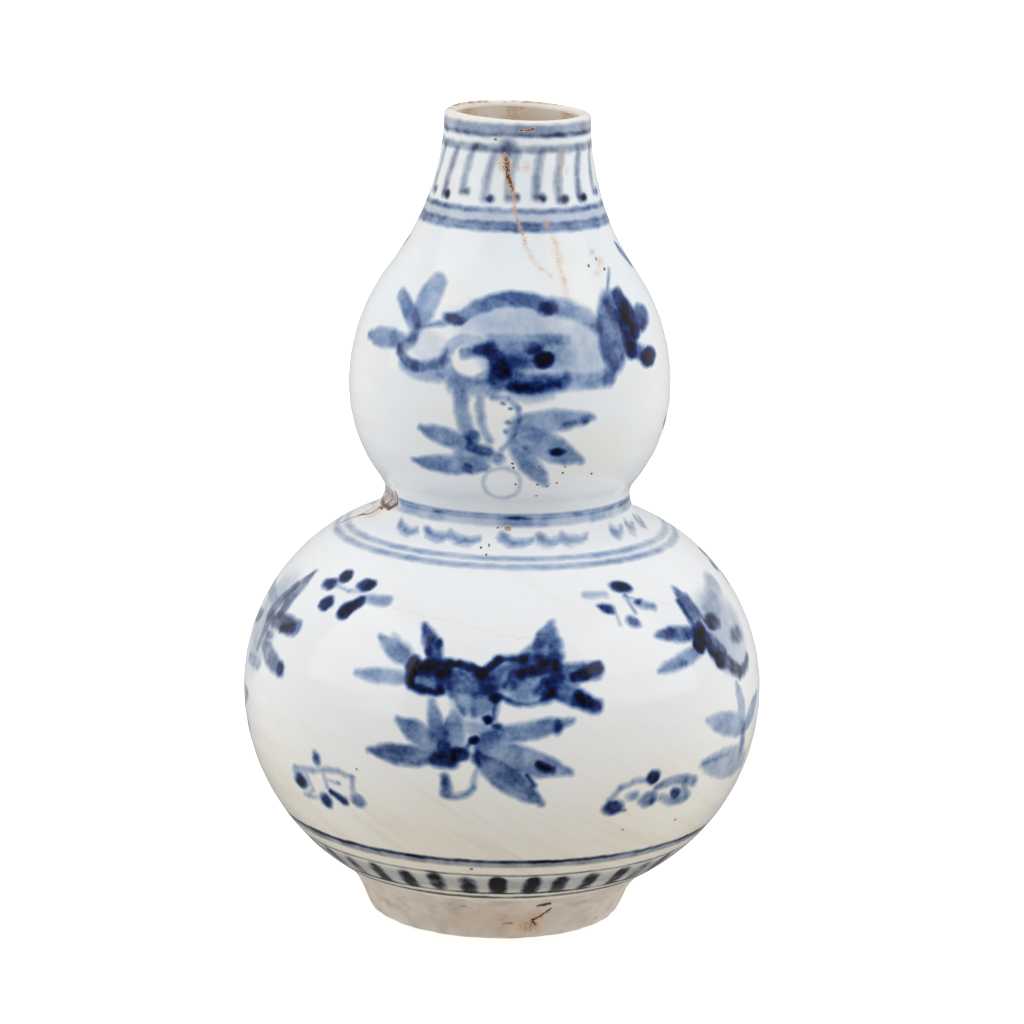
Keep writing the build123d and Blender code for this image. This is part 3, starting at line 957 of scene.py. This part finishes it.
# Lower half of the upper bulb, opening out from the waist. The stalk, pod and lower leaves of the upper spray
# are painted on it, and specks of iron have come through the glaze.
UPPER = joint_height("upper_cup", "upper_dome")
UPPER_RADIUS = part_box("upper_belly_slip")[1][0] * METRE
CUP_SWELL = 41.132
cup_centre = (UPPER_RADIUS - CUP_SWELL, UPPER)
upper_spray = [
    brush((-21.4, 34.0), (-27.4, 22.6), 2.2, 2.8, 0.28, 1.0),
    brush((-21.8, 35.5), (-27.0, 24.0), 0.5, 0.6, 0.12),
    brush((-34.0, 27.6), (-29.0, 22.0), 2.3, 2.6, 0.34),
    leaf((-48.5, 15.3), (-31.5, 16.6), 2.8, 0.34),
    blot((-16.7, 23.8), 2.6, 1.6, 0.74),
    brush((-14.5, 24.3), (9.0, 28.2), 2.0, 2.5, 0.4, bend=3.7),
    brush((9.0, 28.2), (22.5, 22.0), 2.6, 2.2, 0.3, bend=1.2, soft=1.3),
    brush((22.5, 22.0), (27.5, 13.5), 2.2, 1.7, 0.27, bend=0.8, soft=1.3),
    blot((8.0, 27.8), 2.6, 2.2, 0.6, soft=1.3),
    blot((0.0, 23.6), 15.0, 5.4, 0.15, soft=3.2),
    brush((-18.0, 22.7), (-28.0, 20.6), 0.7, 0.8, 0.34),
    brush((-28.0, 20.0), (-33.0, 14.2), 1.7, 1.6, 0.38, bend=0.9),
    brush((-33.0, 13.6), (-28.0, 10.3), 1.7, 1.7, 0.42, bend=-0.8),
    brush((-28.0, 10.3), (-19.0, 12.6), 1.5, 1.4, 0.4, bend=-0.6),
    blot((-29.2, 17.2), 2.0, 1.8, 0.3),
    brush((-32.0, 10.0), (-20.5, 8.4), 1.4, 1.6, 0.24, bend=-0.8),
    brush((-19.5, 12.5), (-18.3, 15.6), 0.8, 0.8, 0.34),
    blot((-23.5, 16.0), 6.0, 4.2, 0.07),
    loop((-12.3, 13.2), 6.4, 5.6, 1.6, 0.2),
    blot((-9.4, 16.2), 3.0, 1.8, 0.75, tilt=10, soft=1.3),
    blot((-13.2, 15.2), 1.6, 1.6, 0.34),
    brush((-19.5, 9.8), (-6.0, 6.6), 2.2, 2.2, 0.22, bend=-1.2),
    brush((-16.0, 6.4), (-5.0, 6.6), 2.2, 2.4, 0.2, soft=1.2),
    brush((-6.5, 19.2), (13.0, 19.2), 1.7, 1.6, 0.3),
    brush((-6.5, 16.4), (-3.6, 11.0), 2.2, 2.4, 0.66, soft=1.6),
    brush((-2.5, 13.8), (3.5, 13.2), 1.6, 1.4, 0.42, soft=1.5),
    blot((-1.0, 14.5), 7.0, 4.2, 0.44, soft=2.4),
    blot((4.6, 17.0), 2.4, 1.6, 0.72, soft=1.2),
    blot((7.3, 13.9), 2.9, 2.1, 1.05),
    blot((9.5, 15.4), 6.4, 4.4, 0.3, soft=2.6),
    brush((-4.5, 9.0), (13.0, 8.6), 2.8, 2.2, 0.56, bend=-0.8, soft=1.6),
    brush((-0.5, 7.0), (11.0, 7.4), 1.7, 1.3, 0.6, bend=-0.5, soft=1.4),
    blot((1.0, 7.2), 2.4, 1.6, 0.62, soft=1.3),
    brush((0.0, 4.8), (9.0, 5.0), 1.4, 1.1, 0.2, bend=-0.5, soft=1.6),
    blot((18.0, 16.5), 8.5, 7.4, 0.15, soft=3.0),
    brush((14.5, 9.0), (27.5, 10.5), 1.9, 1.7, 0.32, bend=-1.2, soft=1.3),
    brush((28.3, 11.0), (27.5, 17.0), 1.5, 1.4, 0.32),
    brush((15.0, 7.0), (26.0, 7.2), 1.1, 1.4, 0.24),
    blot((26.2, 8.2), 2.6, 1.7, 0.42, tilt=15),
    blot((27.8, 20.6), 5.4, 10.6, 0.52, tilt=6, soft=1.2),
    brush((30.8, 29.4), (34.8, 23.6), 2.4, 2.8, 0.66),
    blot((33.2, 25.6), 1.9, 2.8, 0.6),
    *trail([(28.6, 37.0), (26.8, 31.5)], 0.6, 0.3),
    brush((33.2, 22.0), (35.0, 15.0), 3.0, 2.5, 0.66),
    blot((40.0, 22.6), 5.2, 3.4, 0.6, soft=1.1),
    blot((36.8, 19.4), 2.2, 2.3, 0.6),
    brush((34.4, 15.2), (40.0, 13.2), 2.1, 1.9, 0.5),
    blot((42.6, 12.0), 3.8, 2.5, 0.95),
    brush((-14.3, 4.6), (-11.6, -6.5), 2.0, 2.0, 0.36, bend=-0.6),
    brush((-9.0, 3.5), (-6.0, -7.5), 1.2, 1.0, 0.26, bend=-1.2),
    blot((-10.9, -6.8), 2.2, 2.0, 0.44),
    brush((-11.0, -9.4), (-6.8, -10.8), 1.6, 1.6, 0.5),
    *trail([(-6.0, 4.0), (-1.5, 4.0), (1.0, 1.5), (1.4, -2.0), (0.2, -6.0), (-3.0, -10.0)], 0.7, 0.26),
    blot((-3.0, 2.7), 0.7, 0.5, 0.34),
    blot((-1.0, 1.3), 0.7, 0.5, 0.34),
    blot((-1.5, -2.3), 0.8, 0.6, 0.3),
    blot((-2.0, -5.0), 0.7, 0.6, 0.3),
    leaf((-25.6, -5.8), (-10.0, -9.4), 2.8, 0.33),
    leaf((-27.6, -15.8), (-7.5, -15.4), 3.2, 0.34),
    blot((-11.8, -16.2), 1.9, 1.7, 0.55),
    brush((-14.0, -12.0), (-4.0, -12.4), 1.8, 1.8, 0.26),
    blot((-3.8, -12.8), 1.8, 1.6, 0.34),
    leaf((21.5, -1.6), (0.5, -2.4), 3.1, 0.31),
    blot((19.4, -1.8), 1.6, 1.4, 0.4),
    brush((13.0, -3.5), (16.5, -2.6), 0.9, 0.9, 0.28),
    leaf((18.4, -13.8), (0.5, -5.2), 4.3, 0.3),
    blot((11.5, -10.7), 2.1, 1.3, 0.85),
    leaf((9.0, -20.8), (0.0, -8.0), 3.1, 0.33),
    brush((3.5, -12.0), (6.5, -17.0), 1.0, 1.4, 0.14),
    brush((2.0, -5.0), (9.0, -6.5), 2.6, 2.4, 0.14, soft=1.5),
    loop((-2.6, -20.6), 4.9, 5.2, 0.55, 0.13),
]
upper_filler = [
    leaf((-5.0, 43.0), (0.0, 37.0), 1.8, 0.45),
    leaf((5.0, 43.0), (0.0, 37.0), 1.8, 0.45),
    blot((0.0, 37.0), 1.8, 1.5, 0.6),
    blot((-4.0, -8.0), 2.4, 1.6, 0.55, tilt=20),
    blot((2.0, -10.0), 2.6, 1.8, 0.4),
    blot((0.0, -4.5), 1.8, 1.5, 0.7),
]
iron_specks = [
    (-0.1, -14.2), (0.0, -15.3), (5.0, -17.5), (7.0, -20.8), (9.5, -21.4), (12.0, -20.7),
    (13.4, -17.5), (14.0, -15.3), (7.0, -15.0), (22.0, -18.3), (1.0, -20.8), (6.8, -25.0),
]


def upper_sprays(surface, rise, half):
    """Ink of the sprays round the upper bulb, on one half of it."""
    ink = lay(None, surface.paper(2, rise, every=180), upper_spray, half)
    return lay(ink, surface.paper(86, rise, every=180), upper_filler, half)


cup_glaze = bpy.data.materials.new("painted_glaze_cup")
surface = Surface(cup_glaze)
rise = surface.along(cup_centre, CUP_SWELL)
ink = upper_sprays(surface, rise, LOWER_HALF)
ink += ring_line(surface.height + surface.sway[1] * 0.2, 116.3, 0.4, 0.3, 0.6)
specks = [blot(spot, 0.3, 0.26, 1.6, soft=0.25) for spot in iron_specks]
rust = lay(None, surface.paper(2, rise), specks)
rust = lay(rust, surface.paper(CHIP_TURN, surface.height), chip)
glazed(surface, ink, rust, clay_white(surface, rise))
cup_turn = turn_towards(waist_centre, cup_centre)
inside_swell = CUP_SWELL - WALL
inside_top = turn_at(cup_centre, inside_swell, UPPER - HALF_SLIP)
inside_foot = 180 - turn_at(waist_centre, inside_hollow, WAIST + HALF_SLIP)
cup_arcs = [
    arc(waist_centre, WAIST_HOLLOW, 180, cup_turn, 0.8),
    arc(cup_centre, CUP_SWELL, cup_turn - 180, 0),
    arc(cup_centre, inside_swell, inside_top, cup_turn - 180, 4.0),
    arc(waist_centre, inside_hollow, cup_turn, inside_foot, 3.0),
]
upper_cup = turned("upper_cup_thrown", between_joints(*cup_arcs), [cup_glaze, inside_glaze, biscuit])
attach(upper_cup, "root")
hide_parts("upper_cup")

# Slip in the joint round the upper belly: the same clay cream, with its bead left standing inside where no
# hand could reach to wipe it.
luted("upper_belly_slip_bead", "upper_belly_slip", UPPER, UPPER_RADIUS - GLAZE, UPPER_RADIUS - WALL)

# Upper half of the upper bulb, closing in to the neck. It carries the flowers of the upper spray, and the
# thick ring under the neck; rusty hair cracks run down from the neck.
NECK = joint_height("upper_dome", "neck")
DOME_SWELL = 52.8
LIP = 218.45
LIP_RADIUS = 19.6
NECK_HOLLOW = 70.29
MOUTH_RADIUS = 16.5
MOUTH_FOOT = 208.45
MOUTH_HOLLOW = 49.48
dome_centre = (UPPER_RADIUS - DOME_SWELL, UPPER)
neck_centre = (LIP_RADIUS + NECK_HOLLOW, LIP)
mouth_centre = (MOUTH_RADIUS + MOUTH_HOLLOW, MOUTH_FOOT)
dome_glaze = bpy.data.materials.new("painted_glaze_dome")
surface = Surface(dome_glaze)
rise = surface.along(dome_centre, DOME_SWELL)
ink = upper_sprays(surface, rise, UPPER_HALF)
level = surface.height + surface.sway[1] * 0.8
ink += ring_line(level, 191.5, 1.2, 0.4, 0.7)
cracks = [
    *trail([(1.0, 193.0), (2.2, 190.0), (3.0, 187.5)], 0.5, 0.42, 0.9),
    *trail([(3.0, 187.5), (4.6, 184.5), (7.4, 181.6), (10.4, 180.0)], 0.8, 0.3, 1.3),
    *trail([(9.4, 192.0), (11.6, 187.5), (12.4, 183.5), (13.8, 178.5), (14.8, 174.5)], 0.9, 0.3, 1.4),
    blot((11.0, 186.0), 2.6, 4.0, 0.14, soft=2.0),
    *trail([(21.0, 177.5), (21.6, 174.0)], 0.4, 0.2, 0.9),
    blot((23.4, 184.5), 1.4, 1.2, 0.34, soft=1.0),
    blot((26.0, 182.0), 1.8, 1.4, 0.3, soft=1.2),
    blot((25.0, 179.6), 2.0, 1.0, 0.28, soft=1.0),
    blot((21.6, 181.6), 0.4, 0.4, 0.9, soft=0.3),
    blot((24.6, 182.8), 0.4, 0.3, 1.0, soft=0.3),
    blot((27.6, 180.4), 0.4, 0.4, 0.9, soft=0.3),
]
rust = lay(None, surface.paper(0, surface.height), cracks)
glazed(surface, ink, rust, clay_white(surface, rise))
neck_turn = turn_towards(dome_centre, neck_centre)
neck_foot = 180 - turn_at(neck_centre, NECK_HOLLOW, NECK)
inside_turn = turn_towards(dome_centre, mouth_centre)
inside_swell = DOME_SWELL - WALL
inside_top = 180 - turn_at(mouth_centre, MOUTH_HOLLOW, NECK - HALF_SLIP)
inside_foot = turn_at(dome_centre, inside_swell, UPPER + HALF_SLIP)
dome_arcs = [
    arc(dome_centre, DOME_SWELL, 0, neck_turn),
    arc(neck_centre, NECK_HOLLOW, 180 + neck_turn, neck_foot),
    arc(mouth_centre, MOUTH_HOLLOW, inside_top, 180 + inside_turn, 4.0),
    arc(dome_centre, inside_swell, inside_turn, inside_foot, 4.0),
]
upper_dome = turned("upper_dome_thrown", between_joints(*dome_arcs), [dome_glaze, inside_glaze, biscuit])
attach(upper_dome, "root")
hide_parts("upper_dome")

# Slip in the joint at the root of the neck, under the painted rings: the same clay cream, with its bead left
# standing inside.
NECK_RADIUS = 25.18
NECK_INSIDE = 19.7
luted("neck_slip_bead", "neck_slip", NECK, NECK_RADIUS - GLAZE, NECK_INSIDE)

# Neck with its straight mouth and rounded lip. It is painted with rings and a row of hooked strokes, and the
# glaze is worn to brown along the lip.
neck_glaze = bpy.data.materials.new("painted_glaze_neck")
surface = Surface(neck_glaze)
level = surface.height + surface.sway[1] * 0.8
patch = surface.place.noise(0.11, 2.0).rise(0.45, 0.65)
outside = surface.radius.rise(18.3, 18.9)
ink = ring_line(level, 216.0, 1.6, 0.3) * outside
ink += ring_line(level, 214.7, 0.55, 0.14 + 0.3 * patch)
ink += ring_line(level, 211.2, 0.95, 0.36) * (0.85 + patch * 0.4)
ink += ring_line(level, 195.5, 0.6, 0.36) * (0.85 + patch * 0.4)
ink += ring_line(level, 193.6, 1.5, 0.12)
ink += ring_line(level, 191.5, 1.2, 0.4, 0.7)
HOOKS = 20
within, draws = surface.repeat(HOOKS, -1.4)
girth = within * surface.radius + surface.sway[0] + (draws[0] - 0.5) * 0.8
hook_paper = surface.flat(girth, level + (draws[2] - 0.5) * 1.6)
hook = touch(hook_paper, brush((1.0, 210.2), (-0.9, 199.2), 0.95, 1.1, 0.34, bend=-0.5))
hook += touch(hook_paper, brush((-0.8, 198.9), (0.8, 198.5), 0.8, 0.8, 0.16))
ink += hook * draws[1].rise(0.0, 1.0, 0.75, 1.15)
ink += touch(hook_paper, blot((1.0, 199.0), 1.0, 0.95, 0.55)) * draws[2].rise(0.1, 0.9, 0.5, 1.2)
smudge = [blot((-2.0, 211.4), 2.2, 2.2, 0.5, soft=1.5)]
ink = lay(ink, surface.paper(0, surface.height), smudge)
cracks = [
    *trail([(-2.6, 210.0), (-2.3, 206.5), (-1.5, 203.0), (-0.8, 200.4)], 1.0, 0.34, 0.9),
    *trail([(-2.4, 209.0), (-1.6, 204.5), (-0.7, 200.6)], 0.6, 0.8, 0.6),
    blot((-3.4, 207.6), 1.4, 2.2, 0.4, soft=1.1),
    *trail([(-0.8, 200.4), (-0.2, 198.4), (0.2, 195.4), (1.0, 193.0), (2.2, 190.0)], 0.45, 0.5, 0.8),
    blot((3.0, 206.8), 1.4, 1.8, 0.3, soft=1.1),
    blot((0.8, 206.4), 0.9, 1.4, 0.28, soft=0.8),
    *trail([(12.6, 211.0), (12.8, 207.0), (12.4, 203.5)], 0.8, 0.36, 0.9),
    blot((15.0, 206.0), 1.0, 1.6, 0.26, soft=1.0),
    *trail([(1.2, 216.1), (3.0, 216.4), (5.0, 216.9)], 0.3, 0.95, 0.4),
    blot((-5.4, 213.4), 0.6, 0.4, 0.8, soft=0.4),
    blot((8.6, 192.4), 1.2, 1.6, 0.36, soft=1.0),
]
rust = lay(None, surface.paper(0, surface.height), cracks)
worn = surface.height.rise(218.6, 219.6) * surface.place.noise(0.16, 4.0).rise(0.38, 0.58)
near_lip = surface.height.rise(217.0, 218.8, 0.0, 0.7)
lip_clay = near_lip.mix(clay_white(surface, surface.height), tint(234, 225, 212))
glazed(surface, ink, rust + worn * 0.7, lip_clay, vivid=surface.height.rise(200.0, 195.0, 0.58, 0.85))
lip_round = (LIP_RADIUS - MOUTH_RADIUS) / 2
inside_foot = 180 - turn_at(mouth_centre, MOUTH_HOLLOW, NECK + HALF_SLIP)
outside_line = arc(neck_centre, NECK_HOLLOW, neck_foot, 180)
inside_line = arc(mouth_centre, MOUTH_HOLLOW, 180, inside_foot, 3.0)
neck = turned(
    "neck_thrown",
    [
        (outside_line, OUTSIDE),
        (arc((MOUTH_RADIUS + lip_round, LIP), lip_round, 0, 180, 0.4), OUTSIDE),
        (straight((MOUTH_RADIUS, LIP), (MOUTH_RADIUS, MOUTH_FOOT), 3.0), INSIDE),
        (inside_line, INSIDE),
        *across_wall(inside_line[-1], outside_line[0]),
    ],
    [neck_glaze, inside_glaze, biscuit],
)
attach(neck, "root")
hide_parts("neck")

# Plain pale table that the vase stands on: a flat painted sheet that glows with painted light, dimmer near
# the vase and brighter away from it. It belongs to the studio, and neither lights the vase nor shows in its
# glaze.
TABLE_HALF = 6
table_corners = [(x * TABLE_HALF, y * TABLE_HALF, 0) for x, y in ((-1, -1), (1, -1), (1, 1), (-1, 1))]
table_mesh = bpy.data.meshes.new("table")
table_mesh.from_pydata(table_corners, [], [(0, 1, 2, 3)])
table = bpy.data.objects.new("table", table_mesh)
bpy.context.collection.objects.link(table)
table_white = bpy.data.materials.new("table_white")
table_white.use_nodes = True
table_white.node_tree.nodes.clear()
where = Wire(table_white.node_tree).node("ShaderNodeTexCoord", out="Object")
speckle = where.node("ShaderNodeTexNoise", None, {"Vector": where, "Scale": 40.0})
paint = speckle.rise(0.3, 0.7).mix((0.86, 0.86, 0.86, 1), (0.88, 0.88, 0.88, 1))
# Painted light: the table's own glow, dimmer near the vase and brighter away from it.
away = where.vector("LENGTH", where, out=1)
painted_glow = away.rise(0.2, 1.2).mix((0.5, 0.5, 0.5, 1), (1, 1, 1, 1))
matt = paint.node(
    "ShaderNodeBsdfPrincipled",
    None,
    {"Base Color": paint, "Roughness": 0.9, "Emission Color": painted_glow, "Emission Strength": 1.0},
)
matt.node("ShaderNodeOutputMaterial", None, {"Surface": matt})
table_mesh.materials.append(table_white)
table.visible_diffuse = False
table.visible_glossy = False

# Studio: two tall soft lights left and right in front, which show in the glaze as faint panels, a pale room
# behind, and a white ground to the view.
SOFTBOX_WIDE = 0.95
SOFTBOX_TALL = 1.3
SOFTBOX_ENERGY = 6.9
SOFTBOX_PLACE = (0.92, -0.5, 0.62)
SOFTBOX_AIM = Vector((0, 0, 0.12))
FRONT_GLOW = 0.1
BACK_GLOW = 0.7
SIDE_GLOW = 0.5
TOP_GLOW = 1.0
LOW_GLOW = 1.0
PANEL_GLOW = 1.3
for side in (-1, 1):
    softbox = bpy.data.lights.new("softbox", "AREA")
    softbox.shape = "RECTANGLE"
    softbox.size = SOFTBOX_WIDE
    softbox.size_y = SOFTBOX_TALL
    softbox.energy = SOFTBOX_ENERGY
    lamp = bpy.data.objects.new("softbox", softbox)
    bpy.context.collection.objects.link(lamp)
    lamp.location = (SOFTBOX_PLACE[0] * side, *SOFTBOX_PLACE[1:])
    lamp.rotation_euler = (SOFTBOX_AIM - lamp.location).to_track_quat("-Z", "Y").to_euler()
    lamp.visible_camera = False
    lamp.visible_glossy = False
world = bpy.data.worlds.new("studio")
world.use_nodes = True
world.node_tree.nodes.clear()
bpy.context.scene.world = world
start = Wire(world.node_tree)
across, depth, up = start.node("ShaderNodeTexCoord", out="Generated").parts()
seen = start.node("ShaderNodeLightPath", out="Is Camera Ray")
mirrored = Wire(seen.tree, seen.socket.node.outputs["Is Glossy Ray"])
beside = abs(across).rise(0.35, 0.9) * up.rise(0.35, -0.25, 0.0, SIDE_GLOW)
above = (up.rise(0.1, 0.9, 0.0, TOP_GLOW) + beside) * (1 - mirrored * 0.65)
below = up.rise(0.0, -0.6, 0.0, LOW_GLOW) * (1 - mirrored * 0.9)
turn = across.math("ARCTAN2", abs(across), depth * -1)
wide = turn.rise(0.72, 0.8) * turn.rise(1.72, 1.67)
panels = wide * up.rise(0.06, 0.09) * up.rise(0.8, 0.72, 0.0, PANEL_GLOW)
behind = depth.rise(-0.25, 0.7, FRONT_GLOW, BACK_GLOW) * (1 - mirrored * up.rise(-0.1, -0.6, 0.0, 0.85))
room = behind + above + below + panels * mirrored
strength = seen.math("MAXIMUM", seen, room)
sky = strength.node("ShaderNodeBackground", None, {"Strength": strength})
sky.node("ShaderNodeOutputWorld", None, {"Surface": sky})

# Camera at the photograph's angle: a long lens on a stand in front of the vase, a little above it. Its tilt
# is from straight down.
LENS = 139.67
SENSOR = 36.0
STAND = (0.0015, -1.051, 0.3436)
TILT = 77.47
ROLL = 1.49
camera_data = bpy.data.cameras.new("camera")
camera_data.lens = LENS
camera_data.sensor_width = SENSOR
camera = bpy.data.objects.new("camera", camera_data)
bpy.context.collection.objects.link(camera)
camera.matrix_world = (
    Matrix.Translation(STAND)
    @ Matrix.Rotation(math.radians(TILT), 4, "X")
    @ Matrix.Rotation(math.radians(ROLL), 4, "Z")
)
bpy.context.scene.camera = camera
bpy.context.scene.view_settings.view_transform = "Standard"
